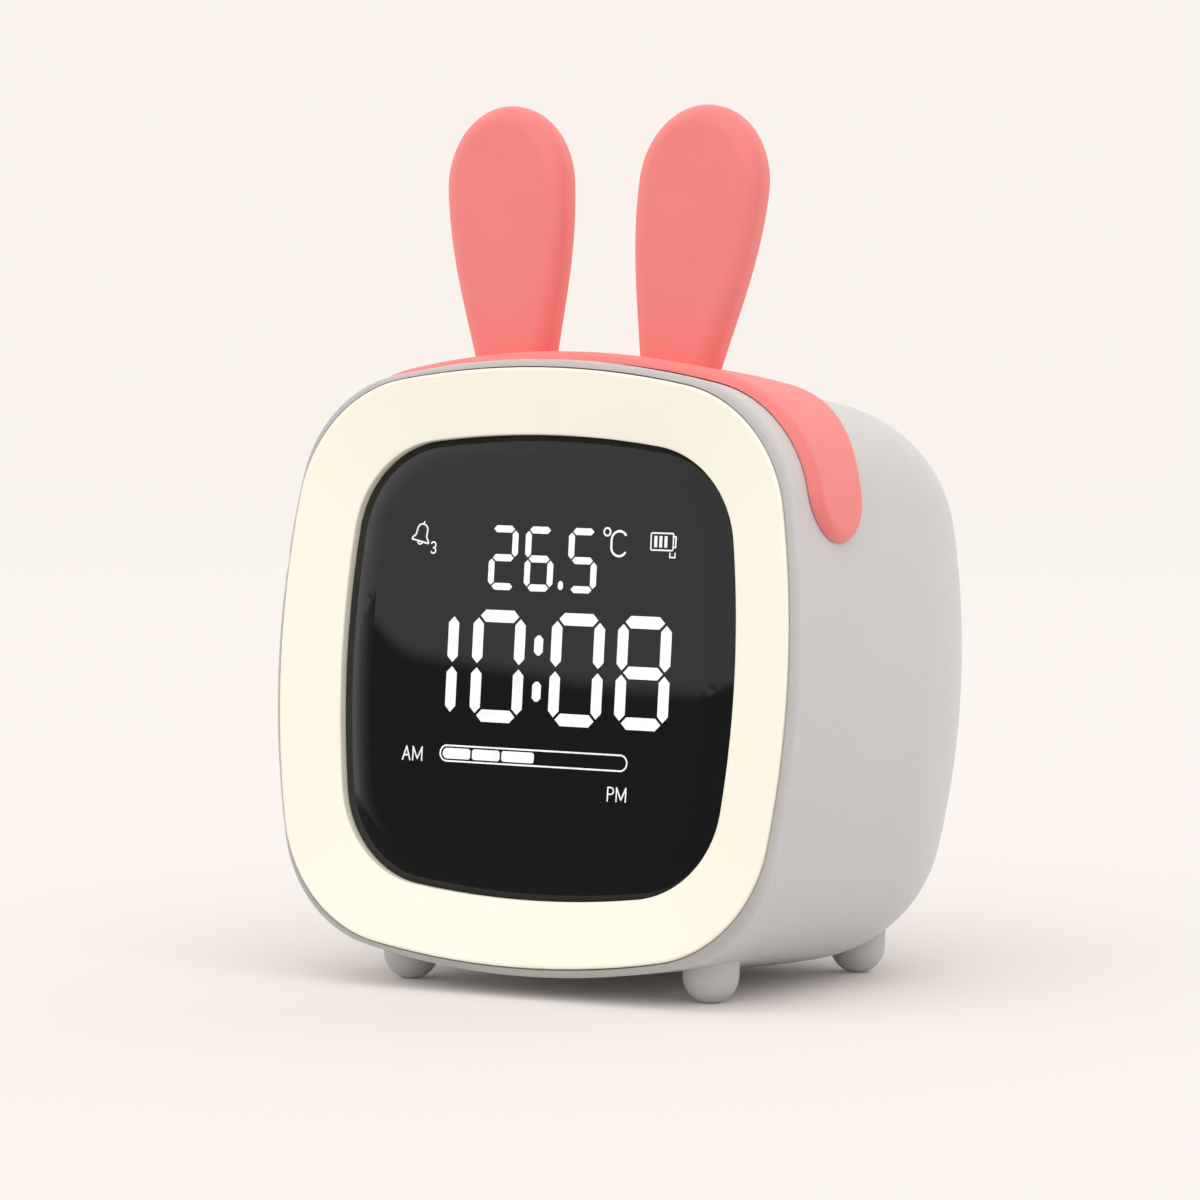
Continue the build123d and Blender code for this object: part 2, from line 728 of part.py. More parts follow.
with BuildPart() as ring_screws:
    screws(ring_boss_places, chassis_back, chassis_back + 1, chassis_back - 7, 1.6, ring_shank)
pieces["ring_screws"] = ring_screws

# main board and what sits on it
main_back = main_board_depth + board_thick
with BuildPart() as main_board:
    plate(scaled(body_outline, main_board_half), None, main_board_depth, main_back)
    disc(post_places, post_radius + 0.3, main_board_depth, main_back, mode=Mode.SUBTRACT)
    disc(main_screw_places, small_shank + 0.2, main_board_depth, main_back, mode=Mode.SUBTRACT)
pieces["main_board"] = main_board

with BuildPart() as main_board_screws:
    screws(main_screw_places, main_back, main_back + 1, main_board_depth - 4, 1.5, small_shank)
pieces["main_board_screws"] = main_board_screws

with BuildPart() as main_chips:
    block([(13, 19)], 8, 8, main_back, main_back + 1.2)
    block([(-16, 23)], 5, 6, main_back, main_back + 1.5)
    block([(24, 30)], 6, 4, main_back, main_back + 1.1)
    block([(-29, 10)], 4, 4, main_back, main_back + 1.1)
    block([(-8 + 3.4 * n, 29) for n in range(6)], 1.6, 0.9, main_back, main_back + 0.6)
pieces["main_chips"] = main_chips

connector_back = main_back + 2.6
with BuildPart() as board_connectors:
    block([(button_ribbon_place, 16)], 10, 4, main_back, connector_back)
    block([(0, 2)], 5, 3.4, main_back, connector_back)
    block([(port_ribbon_place, -9.5)], 8, 3.4, main_back, connector_back)
pieces["board_connectors"] = board_connectors

with BuildPart() as display_header:
    pins = [(1.27 * (n - 5.5), header_height) for n in range(12)]
    block(pins, 0.6, 0.6, segment_board_back, main_board_depth)
    block([(0, header_height)], 16, 2.4, main_board_depth - 2.5, main_board_depth)
pieces["display_header"] = display_header

with BuildPart() as led_header:
    pins = [(1.27 * (n - 1.5), ring_header_height) for n in range(4)]
    block(pins, 0.6, 0.6, chassis_depth, main_board_depth)
    block([(0, ring_header_height)], 6, 2.4, main_board_depth - 2.5, main_board_depth)
pieces["led_header"] = led_header

with BuildPart() as temperature_sensor:
    block([(11.5, -36.5), (12.5, -36.5)], 0.4, 0.4, main_back, main_back + 3.2)
    with Locations((12, front_y + main_back + 3.8, centre_height - 36.5)):
        Sphere(1.3)
pieces["temperature_sensor"] = temperature_sensor

pad_height = centre_height + 40.4
with BuildPart() as touch_plate:
    with BuildSketch(Plane.XY.offset(pad_height)):
        with Locations((0, front_y + 34)):
            RectangleRounded(22, 14, 1.5)
    extrude(amount=-0.3)
pieces["touch_plate"] = touch_plate

with BuildPart() as touch_lead:
    ribbon([(main_back, 36), (31, 36), (31, 40.1)], 3, 0)
pieces["touch_lead"] = touch_lead

# battery
with BuildPart() as battery_cell:
    with BuildSketch(Plane.YZ.offset(-cell_length / 2)):
        with Locations((front_y + cell_depth, centre_height + cell_height)):
            Circle(cell_radius)
    extrude(amount=cell_length)
    fillet(battery_cell.edges(), 0.8)
pieces["battery_cell"] = battery_cell

contact_thick = 0.5
contact_places = [(s * (cell_length + contact_thick) / 2, cell_height) for s in (-1, 1)]
with BuildPart() as battery_holder:
    inner_wide = cell_length + 2 * contact_thick
    block([(0, cell_height)], inner_wide + 2.8, 2 * (cell_radius + 1.4), main_back, holder_back)
    with BuildSketch(Plane.YZ.offset(-inner_wide / 2)):
        with Locations((front_y + cell_depth, centre_height + cell_height)):
            Circle(cell_radius + fit_gap)
    extrude(amount=inner_wide, mode=Mode.SUBTRACT)
    lip = cell_depth + 1
    block([(0, cell_height)], inner_wide, 2 * (cell_radius + fit_gap), lip, holder_back, mode=Mode.SUBTRACT)
    block(contact_places, contact_thick, 6, main_back, holder_back, mode=Mode.SUBTRACT)
pieces["battery_holder"] = battery_holder

with BuildPart() as battery_contacts:
    block(contact_places, contact_thick, 6, main_back, holder_back)
pieces["battery_contacts"] = battery_contacts

# back cover
with BuildPart() as rear_cover:
    plate(scaled(body_outline, cover_half), None, cover_in, cover_out)
    fillet(rear_cover.faces().sort_by(Axis.Y)[-1].edges(), 0.5)
    disc(button_places, button_radius + fit_gap, cover_in, cover_out, mode=Mode.SUBTRACT)
    usb_window = (usb_wide + 2 * fit_gap, usb_high + 2 * fit_gap)
    block([(usb_place, port_row)], *usb_window, cover_in, cover_out, usb_corner, mode=Mode.SUBTRACT)
    slot_window = (knob_wide + switch_travel + 3 * fit_gap, knob_high + 2 * fit_gap)
    block([(switch_place, port_row)], *slot_window, cover_in, cover_out, mode=Mode.SUBTRACT)
    disc(grille_places, grille_hole, cover_in, cover_out, mode=Mode.SUBTRACT)
    disc(post_places, 1.2, cover_in, cover_out, mode=Mode.SUBTRACT)
    disc(post_places, 1.9, screw_seat, cover_out, mode=Mode.SUBTRACT)
    disc([(0, speaker_height)], 10.6, 64.6, cover_in)
    disc([(0, speaker_height)], 9.9, 64.6, cover_in, mode=Mode.SUBTRACT)
    disc(button_screw_places, standoff_radius, button_board_back, cover_in)
    disc(port_screw_places, standoff_radius, port_board_back, cover_in)
    disc(button_screw_places, small_shank, button_board_back, cover_in - 1, mode=Mode.SUBTRACT)
    disc(port_screw_places, small_shank, port_board_back, cover_in - 1, mode=Mode.SUBTRACT)
pieces["rear_cover"] = rear_cover

with BuildPart() as rear_cover_screws:
    screws(post_places, screw_seat, screw_seat + 1.1, back_in - 7, 1.7, screw_shank)
pieces["rear_cover_screws"] = rear_cover_screws

# buttons and their board, carried by the back cover
with BuildPart() as button_board:
    block([(0, button_row)], 35.2, 6.4, button_board_back - board_thick, button_board_back, 1)
    disc(button_screw_places, 1, 50, button_board_back, mode=Mode.SUBTRACT)
pieces["button_board"] = button_board

with BuildPart() as tact_switches:
    block(button_places, 4.5, 4.5, button_board_back, switch_face)
    well = switch_face - plunger_deep - button_travel - 0.2
    disc(button_places, plunger_radius + fit_gap, well, switch_face, mode=Mode.SUBTRACT)
pieces["tact_switches"] = tact_switches

stem_depth = switch_face + 1
for name, place in zip(button_names, button_places):
    with BuildPart() as button:
        disc([place], 1.5, stem_depth, stem_depth + 0.6)
        disc([place], button_flange, stem_depth + 0.6, cover_in - 0.05)
        disc([place], button_radius, cover_in - 0.05, body_depth + button_proud)
        fillet(button.faces().sort_by(Axis.Y)[-1].edges(), 0.4)
    pieces[f"{name}_button"] = button
    with BuildPart() as plunger:
        disc([place], plunger_radius, switch_face - plunger_deep, stem_depth)
    pieces[f"{name}_plunger"] = plunger

# charging socket and power switch
with BuildPart() as port_board:
    block([(0.1, port_row)], 26.8, 5.4, port_board_back - board_thick, port_board_back, 1)
    disc(port_screw_places, 1, 50, port_board_back, mode=Mode.SUBTRACT)
pieces["port_board"] = port_board

with BuildPart() as usb_socket:
    usb_inside = (usb_wide - 2 * usb_sheet, usb_high - 2 * usb_sheet)
    usb_mouth = cover_out - 0.1
    inner_corner = usb_corner - usb_sheet
    usb_floor = port_board_back + 0.7
    block([(usb_place, port_row)], usb_wide, usb_high, port_board_back, usb_mouth, usb_corner)
    block([(usb_place, port_row)], *usb_inside, usb_floor, cover_out, inner_corner, mode=Mode.SUBTRACT)
    # the tongue
    block([(usb_place, port_row)], 6.7, 0.7, port_board_back + 0.5, usb_mouth - 0.6)
pieces["usb_socket"] = usb_socket

with BuildPart() as power_switch_body:
    switch_back = port_board_back + 2.8
    track = (foot_wide + switch_travel + 2 * fit_gap, foot_high + 2 * fit_gap)
    block([(switch_place, port_row)], 8.6, 3.6, port_board_back, switch_back)
    block([(switch_place, port_row)], *track, port_board_back + 1.4, switch_back, mode=Mode.SUBTRACT)
pieces["power_switch_body"] = power_switch_body

with BuildPart() as power_switch_slider:
    knob_place = switch_place - switch_travel / 2
    neck = port_board_back + 3.6
    block([(knob_place, port_row)], foot_wide, foot_high, port_board_back + 1.6, neck)
    block([(knob_place, port_row)], knob_wide, knob_high, neck, body_depth)
    grooves = [(knob_place + offset, port_row) for offset in (-0.6, 0, 0.6)]
    block(grooves, groove, knob_high, body_depth - groove, body_depth, mode=Mode.SUBTRACT)
pieces["power_switch_slider"] = power_switch_slider

with BuildPart() as board_screws:
    boards = [(button_screw_places, button_board_back), (port_screw_places, port_board_back)]
    for places, board_back in boards:
        seat = board_back - board_thick
        screws(places, seat, seat - 0.9, board_back + 2.6, 1.3, small_shank)
pieces["board_screws"] = board_screws

# speaker
with BuildPart() as speaker_frame:
    outside = [(0, 61.5), (5.3, 61.5), (8.6, 65.1), (speaker_radius, 65.1), (speaker_radius, 66.1)]
    inside = [(8.8, 66.1), (8.8, 65.6), (8, 65.6), (4.9, 62.2), (0, 62.2)]
    turned(outside + inside, 0, speaker_height)
    block([(0, speaker_height + 7)], 5, 3, 61.5, 65.1)
    turned([(0, 62.2), (4.9, 62.2), (8, 65.6), (8, 67), (0, 67)], 0, speaker_height, mode=Mode.SUBTRACT)
pieces["speaker_frame"] = speaker_frame

with BuildPart() as speaker_cone:
    front_side = [(0, 63.2), (3, 63.2), (7.7, 65.6), (8.7, 65.6)]
    rear_side = [(8.7, 65.9), (7.6, 65.9), (3, 63.55), (2.4, 63.9), (1.2, 64.15), (0, 64.2)]
    turned(front_side + rear_side, 0, speaker_height)
pieces["speaker_cone"] = speaker_cone

with BuildPart() as speaker_magnet:
    disc([(0, speaker_height)], 5, 58.5, 61.5)
pieces["speaker_magnet"] = speaker_magnet

with BuildPart() as speaker_gasket:
    disc([(0, speaker_height)], speaker_radius, 66.1, cover_in)
    disc([(0, speaker_height)], 8.8, 66.1, cover_in, mode=Mode.SUBTRACT)
pieces["speaker_gasket"] = speaker_gasket

# inner cables
with BuildPart() as button_ribbon:
    ribbon_end = button_board_back - board_thick
    route = [(connector_back, 16), (46, 16), (50, button_row), (ribbon_end, button_row)]
    ribbon(route, 8, button_ribbon_place)
pieces["button_ribbon"] = button_ribbon

with BuildPart() as port_ribbon:
    ribbon_end = port_board_back - board_thick
    route = [(connector_back, -9.5), (47, -9.5), (51, port_row), (ribbon_end, port_row)]
    ribbon(route, 6, port_ribbon_place)
pieces["port_ribbon"] = port_ribbon

with BuildPart() as speaker_ribbon:
    ribbon([(connector_back, 2), (47, 2), (51, 5.4), (61.5, 5.4)], 3, 0)
pieces["speaker_ribbon"] = speaker_ribbon

os.makedirs("parts", exist_ok=True)
lean_axis = Axis((0, pivot_y, 0), (1, 0, 0))
for name, piece in pieces.items():
    leaning = piece.part.rotate(lean_axis, -body_lean).translate((0, centre_shift, 0))
    leaning.label = name
    export_step(leaning, f"parts/{name}.step")
    print(name, len(leaning.solids()), round(leaning.volume, 1), leaning.is_valid)
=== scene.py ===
import bpy
import math
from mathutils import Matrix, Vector


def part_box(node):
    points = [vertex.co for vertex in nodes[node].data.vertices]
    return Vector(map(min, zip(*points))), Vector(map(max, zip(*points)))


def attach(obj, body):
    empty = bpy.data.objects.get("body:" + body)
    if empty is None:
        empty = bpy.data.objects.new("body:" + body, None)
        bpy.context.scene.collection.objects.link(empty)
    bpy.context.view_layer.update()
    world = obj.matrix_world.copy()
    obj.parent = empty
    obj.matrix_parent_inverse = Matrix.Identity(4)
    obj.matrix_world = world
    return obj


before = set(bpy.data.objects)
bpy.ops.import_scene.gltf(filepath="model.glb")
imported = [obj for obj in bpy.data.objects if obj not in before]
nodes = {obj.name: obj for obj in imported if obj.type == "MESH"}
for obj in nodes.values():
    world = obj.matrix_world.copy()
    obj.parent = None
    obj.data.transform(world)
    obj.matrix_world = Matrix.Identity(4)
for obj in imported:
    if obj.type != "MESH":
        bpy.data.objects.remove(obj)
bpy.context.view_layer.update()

mm = 0.001


def hexToLinear(code):  # sRGB hex to linear RGBA
    levels = [int(code[i:i + 2], 16) / 255 for i in (1, 3, 5)]
    return [v / 12.92 if v <= 0.04045 else ((v + 0.055) / 1.055) ** 2.4 for v in levels] + [1.0]


def plain(value):  # what a socket takes: a hex code becomes a colour
    return hexToLinear(value) if isinstance(value, str) else value


def addNode(tree, kind, settings):  # one node with its settings and links; a socket as a value is a link
    node = tree.nodes.new(kind)
    for name, value in settings.items():
        if isinstance(value, bpy.types.NodeSocket):
            tree.links.new(value, node.inputs[name])
        elif isinstance(name, int) or name in node.inputs:
            node.inputs[name].default_value = plain(value)
        else:
            setattr(node, name, value)
    return node


def newMaterial(name, settings):  # a named material with its shader
    material = bpy.data.materials.new(name)
    material.use_nodes = True
    tree = material.node_tree
    shader = tree.nodes["Principled BSDF"]
    for socket, value in settings.items():
        shader.inputs[socket].default_value = plain(value)
    return material, tree, shader


def addObject(name, corners, faces):  # a plain mesh object from corners in millimetres
    mesh = bpy.data.meshes.new(name)
    mesh.from_pydata([tuple(v * mm for v in corner) for corner in corners], [], faces)
    piece = bpy.data.objects.new(name, mesh)
    bpy.context.scene.collection.objects.link(piece)
    return piece


# the camera stands to the right of the screen, slightly above its middle, with a long lens
camera = {
    "aim": (11.94, -32.77, 57.91),  # mm
    "azimuth": 32.07,
    "elevation": 3.635,
    "roll": 0.168,
    "distance": 859.7,  # mm
    "lens": 180.0,
    "sensor": 36.0,
    "near": 0.05,  # m
    "far": 50.0,
}


def makeCamera():
    data = bpy.data.cameras.new("camera")
    data.lens = camera["lens"]
    data.sensor_width = camera["sensor"]
    data.clip_start = camera["near"]
    data.clip_end = camera["far"]
    turn, rise, roll = (math.radians(camera[key]) for key in ("azimuth", "elevation", "roll"))
    back = Vector((math.sin(turn) * math.cos(rise), -math.cos(turn) * math.cos(rise), math.sin(rise)))
    level = Vector((math.cos(turn), math.sin(turn), 0))
    right = level * math.cos(roll) + back.cross(level) * math.sin(roll)
    up = back.cross(right)
    place = (Vector(camera["aim"]) + back * camera["distance"]) * mm
    view = bpy.data.objects.new("camera", data)
    bpy.context.scene.collection.objects.link(view)
    matrix = view.matrix_world.copy()
    for row in range(3):
        matrix[row] = (right[row], up[row], back[row], place[row])
    view.matrix_world = matrix
    bpy.context.scene.camera = view


makeCamera()
print("camera placed")


# studio: pale paper under even sky light, and one broad soft lamp from above
studio = {
    "backdrop": "#faf3ed",  # what is seen behind the clock
    "paper": "#f8f1ec",
    "bounce": "#e0dcd9",  # what the paper throws back on the clock, a little darker
    "sky": "#ffffff",
    "skyLevel": 0.8,
    "sunLevel": 0.93,
    "sunFrom": (0.24, -0.51, 0.8),
    "sunAngle": 75.0,
    "floorHalf": 6000.0,  # mm
    "fadeFrom": 0.35,  # m from the clock where the paper starts to turn into the backdrop
    "fadeTo": 1.6,
    "glowLeast": 0.03,  # share of backdrop glow everywhere on the paper, seen only by the camera: painted light that lifts the deepest shade
}


def makeSky():
    world = bpy.data.worlds.new("studio sky")
    bpy.context.scene.world = world
    world.use_nodes = True
    tree = world.node_tree
    tree.nodes.clear()
    ray = addNode(tree, "ShaderNodeLightPath", {})
    looked = addNode(tree, "ShaderNodeMath", {
        "operation": "MAXIMUM", 0: ray.outputs["Is Camera Ray"], 1: ray.outputs["Is Glossy Ray"]})
    seen = addNode(tree, "ShaderNodeMath", {
        "operation": "MAXIMUM", 0: looked.outputs[0], 1: ray.outputs["Is Transmission Ray"]})
    light = addNode(tree, "ShaderNodeBackground", {"Color": studio["sky"], "Strength": studio["skyLevel"]})
    shown = addNode(tree, "ShaderNodeBackground", {"Color": studio["backdrop"], "Strength": 1.0})
    mix = addNode(tree, "ShaderNodeMixShader", {0: seen.outputs[0], 1: light.outputs[0], 2: shown.outputs[0]})
    addNode(tree, "ShaderNodeOutputWorld", {"Surface": mix.outputs[0]})


def makeSun():
    lamp = bpy.data.lights.new("soft sun", "SUN")
    lamp.energy = studio["sunLevel"]
    lamp.angle = math.radians(studio["sunAngle"])
    sun = bpy.data.objects.new("soft sun", lamp)
    sun.rotation_mode = "QUATERNION"
    sun.rotation_quaternion = Vector(studio["sunFrom"]).to_track_quat("Z", "Y")
    bpy.context.scene.collection.objects.link(sun)


def makeFloor():
    half = studio["floorHalf"]
    corners = [(-half, -half, 0), (half, -half, 0), (half, half, 0), (-half, half, 0)]
    floor = addObject("floor", corners, [(0, 1, 2, 3)])
    material, tree, shader = newMaterial("paper matt", {"Roughness": 1.0, "Specular IOR Level": 0.0})
    ray = addNode(tree, "ShaderNodeLightPath", {})
    tone = addNode(tree, "ShaderNodeMix", {
        "data_type": "RGBA", "Factor": ray.outputs["Is Diffuse Ray"], 6: studio["paper"], 7: studio["bounce"]})
    tree.links.new(tone.outputs[2], shader.inputs["Base Color"])
    # far from the clock the paper turns into the backdrop, so that no horizon shows
    place = addNode(tree, "ShaderNodeTexCoord", {})
    away = addNode(tree, "ShaderNodeVectorMath", {"operation": "LENGTH", 0: place.outputs["Object"]})
    fade = addNode(tree, "ShaderNodeMapRange", {
        "interpolation_type": "SMOOTHSTEP", "Value": away.outputs["Value"],
        "From Min": studio["fadeFrom"], "From Max": studio["fadeTo"], "To Min": studio["glowLeast"]})
    share = addNode(tree, "ShaderNodeMath", {
        "operation": "MULTIPLY", 0: fade.outputs[0], 1: ray.outputs["Is Camera Ray"]})
    glow = addNode(tree, "ShaderNodeEmission", {"Color": studio["backdrop"], "Strength": 1.0})
    mix = addNode(tree, "ShaderNodeMixShader", {0: share.outputs[0], 1: shader.outputs[0], 2: glow.outputs[0]})
    tree.links.new(mix.outputs[0], tree.nodes["Material Output"].inputs["Surface"])
    floor.data.materials.append(material)


# a graded card that only reflections see: dark below, grey above, bright to the left
card = {
    "depth": -300.0,  # mm, in front of the clock
    "left": -1600.0,
    "right": 400.0,
    "top": 700.0,
    "apron": -44.0,  # its dark foot lies on the table up to here
    "apronHeight": 0.3,
    "edge": 67.1,  # height where dark turns to grey
    "soft": 2.2,
    "driftFrom": -150.0,  # left of this the edge rises gently
    "drift": 0.1,
    "bendFrom": -199.0,  # left of this it curves up
    "bendWidth": 28.0,
    "bendRise": 19.0,  # the most it rises
    "sideFrom": -214.0,  # left of this the card brightens towards the lit side of the studio
    "sideTo": -560.0,
    "side": 1.35,
    "dark": 0.28,
    "grey": 0.98,
}


def wayLeft(tree, split, key):  # how far a point lies left of one of the card's marks
    past = addNode(tree, "ShaderNodeMath", {"operation": "SUBTRACT", 0: card[key] * mm, 1: split.outputs["X"]})
    return addNode(tree, "ShaderNodeMath", {"operation": "MAXIMUM", 0: past.outputs[0], 1: 0.0}).outputs[0]


def cardEdge(tree, split):  # how much higher the edge lies: gently at first, then with the square of the way
    gentle = addNode(tree, "ShaderNodeMath", {
        "operation": "MULTIPLY", 0: wayLeft(tree, split, "driftFrom"), 1: card["drift"]})
    square = addNode(tree, "ShaderNodeMath", {"operation": "POWER", 0: wayLeft(tree, split, "bendFrom"), 1: 2.0})
    steep = addNode(tree, "ShaderNodeMath", {
        "operation": "DIVIDE", 0: square.outputs[0], 1: card["bendWidth"] * mm})
    rise = addNode(tree, "ShaderNodeMath", {"operation": "ADD", 0: gentle.outputs[0], 1: steep.outputs[0]})
    return addNode(tree, "ShaderNodeMath", {
        "operation": "MINIMUM", 0: rise.outputs[0], 1: card["bendRise"] * mm}).outputs[0]


def makeCard():
    left, right, top, depth = (card[key] for key in ("left", "right", "top", "depth"))
    apron, lift = card["apron"], card["apronHeight"]
    corners = [(left, depth, 0), (right, depth, 0), (right, depth, top), (left, depth, top),
               (left, depth, lift), (right, depth, lift), (right, apron, lift), (left, apron, lift)]
    piece = addObject("graded card", corners, [(0, 1, 2, 3), (4, 5, 6, 7)])
    for ray in ("camera", "diffuse", "shadow", "volume_scatter"):
        setattr(piece, "visible_" + ray, False)
    material = bpy.data.materials.new("card graded")
    material.use_nodes = True
    tree = material.node_tree
    tree.nodes.clear()
    place = addNode(tree, "ShaderNodeTexCoord", {})
    split = addNode(tree, "ShaderNodeSeparateXYZ", {0: place.outputs["Object"]})
    height = addNode(tree, "ShaderNodeMath", {
        "operation": "SUBTRACT", 0: split.outputs["Z"], 1: cardEdge(tree, split)})
    tone = addNode(tree, "ShaderNodeMapRange", {
        "interpolation_type": "SMOOTHSTEP", "Value": height.outputs[0],
        "From Min": (card["edge"] - card["soft"]) * mm, "From Max": (card["edge"] + card["soft"]) * mm,
        "To Min": card["dark"], "To Max": card["grey"]})
    aside = addNode(tree, "ShaderNodeMapRange", {
        "Value": split.outputs["X"], "From Min": card["sideFrom"] * mm, "From Max": card["sideTo"] * mm})
    level = addNode(tree, "ShaderNodeMix", {0: aside.outputs[0], 2: tone.outputs[0], 3: card["side"]})
    glow = addNode(tree, "ShaderNodeEmission", {"Strength": level.outputs[0]})
    addNode(tree, "ShaderNodeOutputMaterial", {"Surface": glow.outputs[0]})
    piece.data.materials.append(material)


bpy.context.scene.view_settings.view_transform = "Standard"
makeSky()
makeSun()
makeFloor()
makeCard()
print("studio ready")


# the clock leans back, so the depth of the painted groove shade and of a print is measured square to the screen
front = {
    "lean": 5.0,  # degrees
    "grooveFrom": 0.3,  # mm behind the front plane: the crest of the housing's lip ends here
    "grooveTo": 1.7,
}
lean = math.radians(front["lean"])
inward = Vector((0, math.cos(lean), -math.sin(lean)))
upward = Vector((0, math.sin(lean), math.cos(lean)))
frontDepth = inward.dot(Vector(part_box("light_ring")[0]))  # the front plane, near the light ring's face


def depthIn(tree, place):  # how far in a point lies
    return addNode(tree, "ShaderNodeVectorMath", {
        "operation": "DOT_PRODUCT", 0: place.outputs["Object"], 1: inward}).outputs["Value"]


# how every finish is drawn: slow patches of tone, finer grain, and edges lighter in patches: rubbed wear on most
# finishes, a painted highlight on the light ring
drawn = {
    "patchDetail": 2.0,
    "grainDetail": 3.0,
    "fractal": 0.55,
    "low": 0.35,  # noise lies mostly between these two
    "high": 0.65,
    "edgeSamples": 4,
    "edgeFull": 0.75,  # how well the rounded normal agrees with the true one: on an edge, and on a flat
    "edgeNone": 0.99,
    "rubbedLeast": 0.3,
    "rubbedPatches": 4,  # to one patch of tone
}


def wander(tree, place, size, low=0.0, high=1.0, span=None):  # a value that drifts over patches of a size in mm
    start, end = span or (drawn["low"], drawn["high"])
    patches = addNode(tree, "ShaderNodeTexNoise", {
        "Vector": place.outputs["Object"], "Scale": 1 / (size * mm), "Detail": drawn["patchDetail"],
        "Roughness": drawn["fractal"]})
    spread = addNode(tree, "ShaderNodeMapRange", {
        "Value": patches.outputs["Fac"], "From Min": start, "From Max": end, "To Min": low, "To Max": high})
    return spread.outputs[0]


def mottle(tree, place, look, span=None):  # two close tones, so that no face is dead flat
    return addNode(tree, "ShaderNodeMix", {
        "data_type": "RGBA", "Factor": wander(tree, place, look["patch"], span=span),
        6: look["color"], 7: look["tint"]}).outputs[2]


def edgeWearAndHighlight(tree, place, look, color):  # convex and concave edges lighter, in patches: wear on most finishes, a painted white highlight on the light ring's edges
    bevel = addNode(tree, "ShaderNodeBevel", {"samples": drawn["edgeSamples"], "Radius": look["edgeWidth"] * mm})
    shape = addNode(tree, "ShaderNodeNewGeometry", {})
    match = addNode(tree, "ShaderNodeVectorMath", {
        "operation": "DOT_PRODUCT", 0: bevel.outputs[0], 1: shape.outputs["Normal"]})
    edge = addNode(tree, "ShaderNodeMapRange", {
        "Value": match.outputs["Value"], "From Min": drawn["edgeFull"], "From Max": drawn["edgeNone"],
        "To Min": 1.0, "To Max": 0.0})
    rubbed = wander(tree, place, look["patch"] / drawn["rubbedPatches"], drawn["rubbedLeast"], 1.0)
    share = addNode(tree, "ShaderNodeMath", {"operation": "MULTIPLY", 0: edge.outputs[0], 1: rubbed})
    return addNode(tree, "ShaderNodeMix", {
        "data_type": "RGBA", "Factor": share.outputs[0], 6: color, 7: look["edge"]}).outputs[2]


def paintGrazingSheen(tree, look, color):  # painted sheen: the colour turns paler where a surface is seen edge on
    facing = addNode(tree, "ShaderNodeLayerWeight", {"Blend": 0.5})
    share = addNode(tree, "ShaderNodeMapRange", {
        "Value": facing.outputs["Facing"], "From Min": look["rimFrom"], "From Max": look["rimTo"]})
    return addNode(tree, "ShaderNodeMix", {
        "data_type": "RGBA", "Factor": share.outputs[0], 6: color, 7: look["rim"]}).outputs[2]


def paintGrooveShade(tree, place, look, color):  # painted shade: darker in the groove around the light ring, where occlusion shade falls, not on the lip's crest
    share = addNode(tree, "ShaderNodeMapRange", {
        "Value": depthIn(tree, place), "From Min": frontDepth + front["grooveFrom"] * mm,
        "From Max": frontDepth + front["grooveTo"] * mm, "To Min": 1.0, "To Max": 0.0})
    return addNode(tree, "ShaderNodeMix", {
        "data_type": "RGBA", "Factor": share.outputs[0], 6: color, 7: look["groove"]}).outputs[2]


def grainSurface(tree, place, look, shader):  # fine relief, and gloss that follows it
    along = place.outputs["Object"]
    if "stretch" in look:
        along = addNode(tree, "ShaderNodeMapping", {"Scale": look["stretch"], "Vector": along}).outputs[0]
    grain = addNode(tree, "ShaderNodeTexNoise", {
        "Vector": along, "Scale": 1 / (look["grain"] * mm), "Detail": drawn["grainDetail"],
        "Roughness": drawn["fractal"]})
    gloss = addNode(tree, "ShaderNodeMapRange", {
        "Value": grain.outputs["Fac"], "From Min": drawn["low"], "From Max": drawn["high"],
        "To Min": look["rough"][0], "To Max": look["rough"][1]})
    bump = addNode(tree, "ShaderNodeBump", {"Height": grain.outputs["Fac"], "Distance": look["relief"] * mm})
    tree.links.new(gloss.outputs[0], shader.inputs["Roughness"])
    tree.links.new(bump.outputs[0], shader.inputs["Normal"])


def finish(name, look):  # a surface from its description
    material, tree, shader = newMaterial(name, {
        "IOR": look.get("ior", 1.5), "Metallic": look.get("metallic", 0.0), **look.get("more", {})})
    place = addNode(tree, "ShaderNodeTexCoord", {})
    color = mottle(tree, place, look)
    if "edge" in look:
        # lighter edges: rubbed wear on most finishes, a painted white highlight on the light ring
        color = edgeWearAndHighlight(tree, place, look, color)
    if "rim" in look:
        # painted sheen where the surface is seen edge on
        color = paintGrazingSheen(tree, look, color)
    if "groove" in look:
        # painted shade in the groove by the light ring
        color = paintGrooveShade(tree, place, look, color)
    tree.links.new(color, shader.inputs["Base Color"])
    grainSurface(tree, place, look, shader)
    return material


